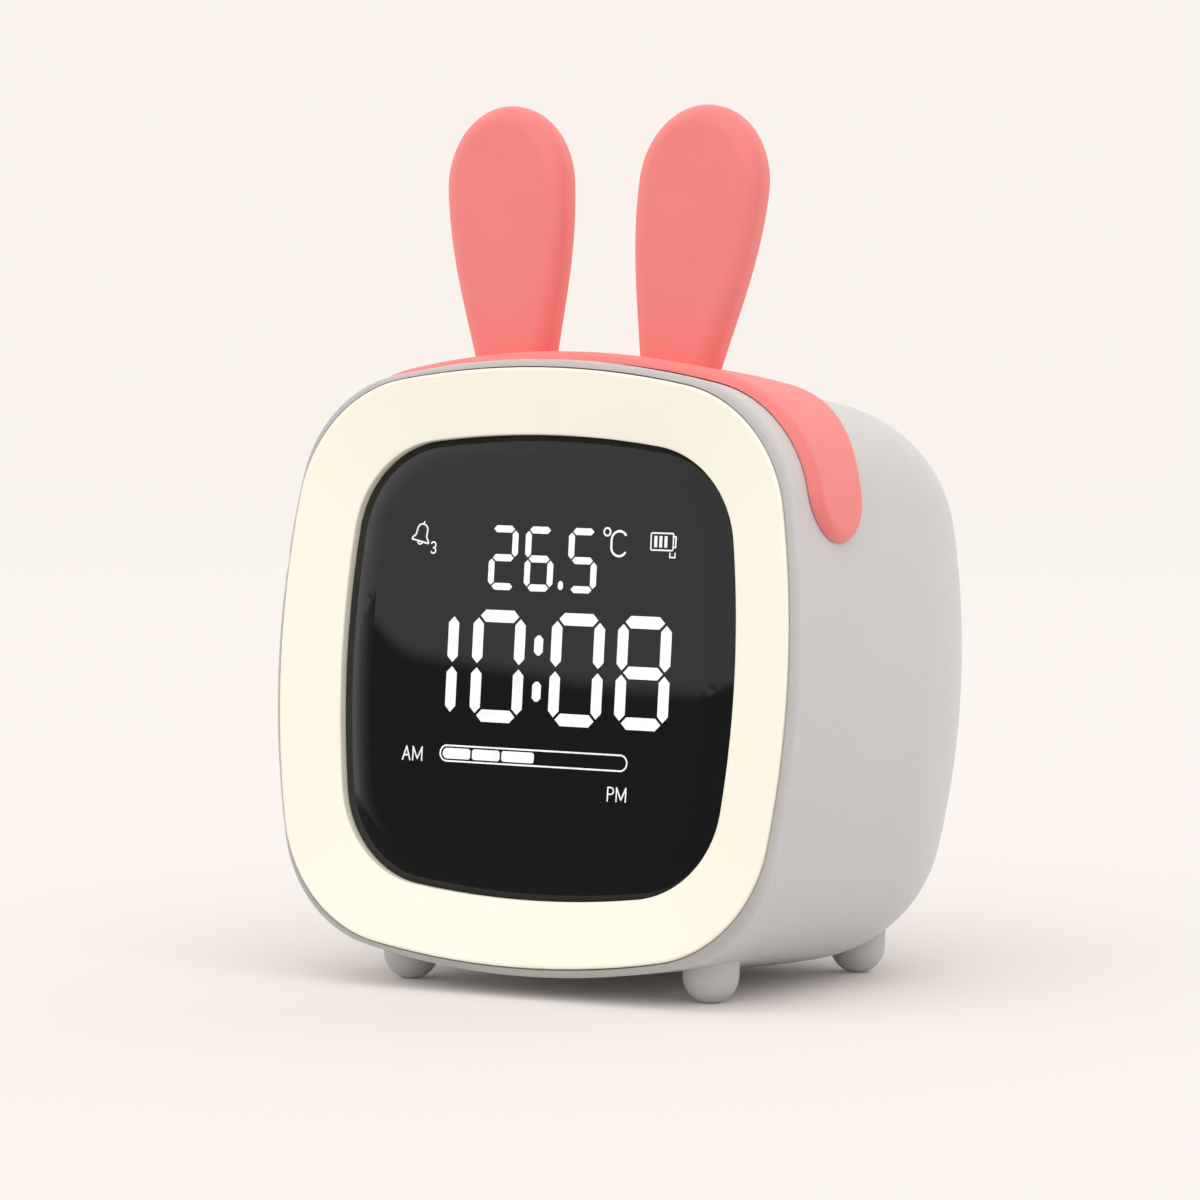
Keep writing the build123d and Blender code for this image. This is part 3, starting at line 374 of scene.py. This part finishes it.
# patch, grain, edgeWidth and relief are in mm; moulded and plated grain is really 0.02 to 0.1 mm, too fine to
# show, so it's drawn at 0.1 to 0.3 mm
looks = {
    # satin ABS: warm grey, spark-eroded grain of 0.08 mm that breaks up the highlight; a painted sheen makes it paler
    # seen edge on, and painted shade darkens the groove by the light ring
    "ABS injection moulded grey": {
        "color": "#d7d2d1", "tint": "#d4d0cf", "patch": 30.0, "rim": "#e4e1df", "rimFrom": 0.5, "rimTo": 0.95,
        # groove: the painted shade colour for the groove by the light ring
        "groove": "#b9b5b4", "grain": 0.22, "relief": 0.006, "rough": (0.36, 0.5), "ior": 1.53},
    # milky polycarbonate: soft cream with a little light travelling inside, and a painted white highlight along its
    # edges
    "PC moulded milky diffuser": {
        "color": "#fffae9", "tint": "#fef8e5", "edge": "#ffffff", "edgeWidth": 0.25, "patch": 25.0,
        "grain": 0.3, "relief": 0.003, "rough": (0.42, 0.52), "ior": 1.58,
        "more": {"Emission Color": "#fff0cf", "Emission Strength": 0.055, "Subsurface Weight": 0.15,
                 "Subsurface Radius": (1.0, 0.8, 0.5), "Subsurface Scale": 0.0015}},
    # silicone: velvety coral with a little real sheen; a painted sheen makes the edges paler seen edge on
    "silicone moulded coral": {
        "color": "#f48480", "tint": "#f2817d", "rim": "#ff8f8b", "rimFrom": 0.2, "rimTo": 0.55, "patch": 14.0,
        "grain": 0.25, "relief": 0.005, "rough": (0.5, 0.62), "ior": 1.41,
        "more": {"Sheen Weight": 0.12, "Sheen Roughness": 0.4, "Subsurface Weight": 0.12,
                 "Subsurface Radius": (1.0, 0.4, 0.35), "Subsurface Scale": 0.001}},
    # the same rubber in grey: dull and dusty, so the feet read softer than the shell
    "silicone moulded grey": {
        "color": "#d3d0cf", "tint": "#cfcccb", "patch": 8.0, "grain": 0.25, "relief": 0.005,
        "rough": (0.5, 0.65), "ior": 1.41, "more": {"Sheen Weight": 0.1, "Sheen Roughness": 0.4}},
    # matt black block behind the lens: only its lit cut-outs should show
    "ABS moulded matt black": {
        "color": "#0b0b0b", "tint": "#0a0a0a", "patch": 12.0, "grain": 0.3, "relief": 0.002,
        "rough": (0.8, 0.9), "ior": 1.5, "more": {"Specular IOR Level": 0.0}},
    # black switch plastic: soft highlight, corners rubbed grey
    "ABS moulded black": {
        "color": "#262627", "tint": "#1e1e1f", "edge": "#39393a", "edgeWidth": 0.2, "patch": 6.0,
        "grain": 0.2, "relief": 0.005, "rough": (0.4, 0.55), "ior": 1.53},
    # keys: a finer grain than the cover's, so a little glossier, with pale edges where fingers rub
    "ABS moulded key grey": {
        "color": "#cbc5c2", "tint": "#c5bfbc", "edge": "#dedad7", "edgeWidth": 0.2, "patch": 4.0,
        "grain": 0.2, "relief": 0.004, "rough": (0.34, 0.44), "ior": 1.53},
    # white reflector plastic: bright, with a broad shine
    "ABS moulded white": {
        "color": "#f2f1ee", "tint": "#eceae6", "edge": "#fbfaf8", "edgeWidth": 0.2, "patch": 8.0,
        "grain": 0.2, "relief": 0.003, "rough": (0.25, 0.4), "ior": 1.53},
    # charcoal frame inside: drag marks from the mould catch the light
    "ABS moulded charcoal": {
        "color": "#3a3b3d", "tint": "#343537", "edge": "#4c4d50", "edgeWidth": 0.25, "patch": 10.0,
        "grain": 0.3, "relief": 0.006, "rough": (0.42, 0.58), "ior": 1.53, "stretch": (1, 1, 0.3)},
    # closed-cell foam: open pores and no shine
    "PU foam die cut": {
        "color": "#1c1c1d", "tint": "#262627", "patch": 1.2, "grain": 0.35, "relief": 0.08, "rough": (0.85, 0.98)},
    # zinc plate: cool grey with cloudy patches and bright corners on the screw heads
    "steel zinc plated": {
        "color": "#b9bbbd", "tint": "#a3a5a9", "edge": "#d8d9da", "edgeWidth": 0.12, "patch": 1.5,
        "grain": 0.15, "relief": 0.002, "rough": (0.22, 0.4), "metallic": 1.0},
    # nickel plate: warmer and sharper, with thin streaks along the rolling direction
    "steel nickel plated": {
        "color": "#c9c6bf", "tint": "#bbb7ae", "edge": "#e2e0da", "edgeWidth": 0.12, "patch": 2.5,
        "grain": 0.12, "relief": 0.0015, "rough": (0.15, 0.3), "metallic": 1.0, "stretch": (0.2, 1, 1)},
    # speaker basket: dull pressed sheet, bright where the tool sheared it
    "steel stamped basket": {
        "color": "#8d8f92", "tint": "#7d7f83", "edge": "#b2b4b6", "edgeWidth": 0.2, "patch": 3.0,
        "grain": 0.2, "relief": 0.003, "rough": (0.3, 0.45), "metallic": 1.0},
    # ferrite: near-black ceramic with a stony grain and chipped grey edges
    "ferrite sintered": {
        "color": "#2b2b2d", "tint": "#343436", "edge": "#4a4a4c", "edgeWidth": 0.3, "patch": 1.0,
        "grain": 0.12, "relief": 0.01, "rough": (0.55, 0.75), "ior": 2.0},
    # speaker cone: felted fibres, no shine
    "paper pulp pressed": {
        "color": "#222224", "tint": "#2f2e2f", "patch": 0.8, "grain": 0.15, "relief": 0.02,
        "rough": (0.8, 0.95), "stretch": (1, 1, 0.25)},
    # header pins: bright warm metal
    "brass gold plated": {
        "color": "#d8b363", "tint": "#c99f4f", "patch": 1.0, "grain": 0.1, "relief": 0.001,
        "rough": (0.18, 0.3), "metallic": 1.0},
    # dipped bead: dark brown, glassy and slightly lumpy
    "epoxy dipped": {
        "color": "#2a1f1b", "tint": "#352620", "patch": 1.0, "grain": 0.3, "relief": 0.004, "rough": (0.12, 0.25)},
    # lamp resin: clear yellow jelly over the chip
    "silicone resin clear": {
        "color": "#f3e9b0", "tint": "#eee09a", "patch": 0.8, "grain": 0.2, "relief": 0.002, "rough": (0.12, 0.25),
        "more": {"Subsurface Weight": 0.2, "Subsurface Radius": (1.0, 0.9, 0.5), "Subsurface Scale": 0.0004}},
    # shrink sleeve: glossy film with long faint pull lines
    "PVC shrink sleeve blue": {
        "color": "#2f6f9e", "tint": "#2a658f", "edge": "#4b88b3", "edgeWidth": 0.5, "patch": 9.0,
        "grain": 0.6, "relief": 0.01, "rough": (0.15, 0.28), "stretch": (0.08, 1, 1)},
    # flat cable: pale film with ribs of the conductors
    "PET flat cable": {
        "color": "#e8e6df", "tint": "#d4d1c7", "patch": 1.0, "grain": 0.5, "relief": 0.03, "rough": (0.3, 0.42),
        "stretch": (1, 0.02, 0.02)},
    # pad-printed ink on the keys: thin dull grey with worn spots
    "ink pad printed": {
        "color": "#85807d", "tint": "#9a9592", "patch": 0.5, "grain": 0.12, "relief": 0.001, "rough": (0.45, 0.65)},
}

# glass-epoxy board: green mask under a thin coat, over traces that stand up a little
board = {
    "color": "#0e6b3e",
    "tint": "#0b5f37",
    "trace": "#2c8a57",
    "patch": 6.0,  # mm
    "cell": 9.0,
    "traceWidth": 0.03,  # of a cell
    "traceHeight": 0.03,
    "grain": 0.4,
    "rough": (0.28, 0.42),
}


def boardMaterial():
    material, tree, shader = newMaterial("FR4 solder masked green", {
        "IOR": 1.5, "Coat Weight": 0.4, "Coat Roughness": 0.12})
    place = addNode(tree, "ShaderNodeTexCoord", {})
    cell = addNode(tree, "ShaderNodeTexBrick", {
        "Vector": place.outputs["Object"], "Scale": 1 / (board["cell"] * mm), "Mortar Size": board["traceWidth"],
        "Color1": (1, 1, 1, 1), "Color2": (0.8, 0.8, 0.8, 1), "Mortar": (0, 0, 0, 1)})
    color = addNode(tree, "ShaderNodeMix", {
        "data_type": "RGBA", "Factor": cell.outputs["Fac"], 6: mottle(tree, place, board, (0, 1)), 7: board["trace"]})
    bump = addNode(tree, "ShaderNodeBump", {"Height": cell.outputs["Fac"], "Distance": board["traceHeight"] * mm})
    tree.links.new(color.outputs[2], shader.inputs["Base Color"])
    tree.links.new(wander(tree, place, board["grain"], *board["rough"]), shader.inputs["Roughness"])
    tree.links.new(bump.outputs[0], shader.inputs["Normal"])
    return material


# smoked acrylic, polished: dark, with sharp reflections from its front alone
lens = {
    "color": "#383838",
    "tint": "#363637",
    "patch": 30.0,  # mm
    "polish": 14.0,  # mm, how far apart the polish varies
    "rough": (0.004, 0.012),
    "ior": 1.49,
    "ink": "#0b0b0b",
    "inkFrom": 3.35,  # mm behind the front plane
}


def lensMaterial():
    material, tree, shader = newMaterial("acrylic cast smoked", {"Transmission Weight": 1.0})
    place = addNode(tree, "ShaderNodeTexCoord", {})
    tree.links.new(mottle(tree, place, lens, (0, 1)), shader.inputs["Base Color"])
    tree.links.new(wander(tree, place, lens["polish"], *lens["rough"]), shader.inputs["Roughness"])
    # its back is bonded to the display and doesn't mirror
    shape = addNode(tree, "ShaderNodeNewGeometry", {})
    ior = addNode(tree, "ShaderNodeMapRange", {
        "Value": shape.outputs["Backfacing"], "To Min": lens["ior"], "To Max": 1.0})
    tree.links.new(ior.outputs[0], shader.inputs["IOR"])
    # around the display the back is printed black
    deep = addNode(tree, "ShaderNodeMath", {
        "operation": "GREATER_THAN", 0: depthIn(tree, place), 1: frontDepth + lens["inkFrom"] * mm})
    ink = addNode(tree, "ShaderNodeBsdfDiffuse", {"Color": lens["ink"]})
    body = addNode(tree, "ShaderNodeMixShader", {0: deep.outputs[0], 1: shader.outputs[0], 2: ink.outputs[0]})
    # lamp light passes straight through, so that what lies behind is lit without grain
    ray = addNode(tree, "ShaderNodeLightPath", {})
    clear = addNode(tree, "ShaderNodeBsdfTransparent", {"Color": lens["color"]})
    mix = addNode(tree, "ShaderNodeMixShader", {
        0: ray.outputs["Is Shadow Ray"], 1: body.outputs[0], 2: clear.outputs[0]})
    tree.links.new(mix.outputs[0], tree.nodes["Material Output"].inputs["Surface"])
    return material


# diffusing film over each light guide: white, a little dimmer away from its lamp, and strong enough for the lens
film = {
    "color": "#e8e8e8",
    "light": "#fbfdff",
    "patch": 2.5,  # mm
    "level": (25.0, 30.0),
    "rough": 0.6,
}


def filmMaterial():
    material, tree, shader = newMaterial("film diffusing lit", {
        "Base Color": film["color"], "Roughness": film["rough"], "Emission Color": film["light"]})
    place = addNode(tree, "ShaderNodeTexCoord", {})
    ray = addNode(tree, "ShaderNodeLightPath", {})
    kept = addNode(tree, "ShaderNodeMath", {"operation": "SUBTRACT", 0: 1.0, 1: ray.outputs["Is Diffuse Ray"]})
    strength = addNode(tree, "ShaderNodeMath", {
        "operation": "MULTIPLY", 0: wander(tree, place, film["patch"], *film["level"]), 1: kept.outputs[0]})
    tree.links.new(strength.outputs[0], shader.inputs["Emission Strength"])
    return material


surfaces = {name: finish(name, look) for name, look in looks.items()}
surfaces["FR4 solder masked green"] = boardMaterial()
surfaces["acrylic cast smoked"] = lensMaterial()
surfaces["film diffusing lit"] = filmMaterial()

dressing = {
    "ABS injection moulded grey": ["housing", "rear_cover"],
    "PC moulded milky diffuser": ["light_ring"],
    "silicone moulded coral": ["ear_band"],
    "silicone moulded grey": ["foot_front_left", "foot_front_right", "foot_rear_left", "foot_rear_right"],
    "acrylic cast smoked": ["display_lens"],
    "film diffusing lit": ["display_segments"],
    "ABS moulded matt black": ["segment_reflector"],
    "ABS moulded key grey": ["mode_button", "alarm_button", "minus_button", "plus_button", "light_button"],
    "ABS moulded black": ["mode_plunger", "alarm_plunger", "minus_plunger", "plus_plunger", "light_plunger",
                          "tact_switches", "power_switch_body", "power_switch_slider", "main_chips"],
    "ABS moulded white": ["ring_reflector", "board_connectors"],
    "ABS moulded charcoal": ["chassis", "battery_holder"],
    "PU foam die cut": ["lens_gasket", "speaker_gasket"],
    "steel zinc plated": ["ring_screws", "main_board_screws", "rear_cover_screws", "board_screws"],
    "steel nickel plated": ["battery_contacts", "usb_socket", "touch_plate"],
    "steel stamped basket": ["speaker_frame"],
    "ferrite sintered": ["speaker_magnet"],
    "paper pulp pressed": ["speaker_cone"],
    "brass gold plated": ["display_header", "led_header"],
    "epoxy dipped": ["temperature_sensor"],
    "silicone resin clear": ["segment_leds", "ring_leds"],
    "PVC shrink sleeve blue": ["battery_cell"],
    "PET flat cable": ["touch_lead", "button_ribbon", "port_ribbon", "speaker_ribbon"],
    "FR4 solder masked green": ["segment_board", "ring_led_board", "main_board", "button_board", "port_board"],
}


def dress(wearer, surface):  # a piece takes a finish
    slots = nodes[wearer].data.materials
    if len(slots) == 0:
        slots.append(surface)
    for index in range(len(slots)):
        slots[index] = surface


for name, wearers in dressing.items():
    for wearer in wearers:
        dress(wearer, surfaces[name])
print("finishes on")


# printed signs on the keys, seen from behind; each bar is u to the right, v up, length (mm) and turn (degrees)
rays = [math.pi * step / 4 for step in range(8)]
signs = {
    "lift": 0.012,  # mm, ink film
    "ink": 0.3,  # mm, stroke
    "bars": {
        "mode": [(0, 0.62, 1.7, 0), (0, 0, 1.7, 0), (0, -0.62, 1.7, 0)],
        "alarm": [(0, -0.62, 1.9, 0), (-0.62, -0.1, 1.1, 82), (0.62, -0.1, 1.1, 98), (0, 0.62, 0.9, 0),
                  (0, 0.9, 0.3, 90), (0, -1.0, 0.5, 0)],
        "minus": [(0, 0, 1.8, 0)],
        "plus": [(0, 0, 1.8, 0), (0, 0, 1.8, 90)],
        "light": [(0.95 * math.cos(turn), 0.95 * math.sin(turn), 0.5, math.degrees(turn)) for turn in rays]
                 + [(0, 0, 0.8, turn) for turn in (0, 45, 90, 135)],
    },
}


def printSign(key, bars):  # flat bars just clear of the key's outer face, which move with the key
    button = nodes[key + "_button"]
    points = [button.matrix_world @ v.co for v in button.data.vertices]
    across = [point.x for point in points]
    heights = [point.dot(upward) for point in points]
    middle = (min(across) + max(across)) / 2
    level = (min(heights) + max(heights)) / 2
    face = max(point.dot(inward) for point in points) + signs["lift"] * mm
    home = Vector((middle, 0, 0)) + upward * level + inward * face
    corners, faces = [], []
    for u, v, length, turn in bars:
        along = Vector((math.cos(math.radians(turn)), math.sin(math.radians(turn))))
        aside = Vector((-along.y, along.x))
        for end, side in ((-1, -1), (1, -1), (1, 1), (-1, 1)):
            spot = Vector((u, v)) + along * (end * length / 2) + aside * (side * signs["ink"] / 2)
            place = home + Vector((-1, 0, 0)) * spot.x * mm + upward * spot.y * mm
            corners.append(tuple(place / mm))
        faces.append(tuple(range(len(corners) - 4, len(corners))))
    piece = addObject("sign_" + key, corners, faces)
    piece.data.materials.append(surfaces["ink pad printed"])
    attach(piece, key + "_key")


for key, bars in signs["bars"].items():
    printSign(key, bars)
print("signs printed")
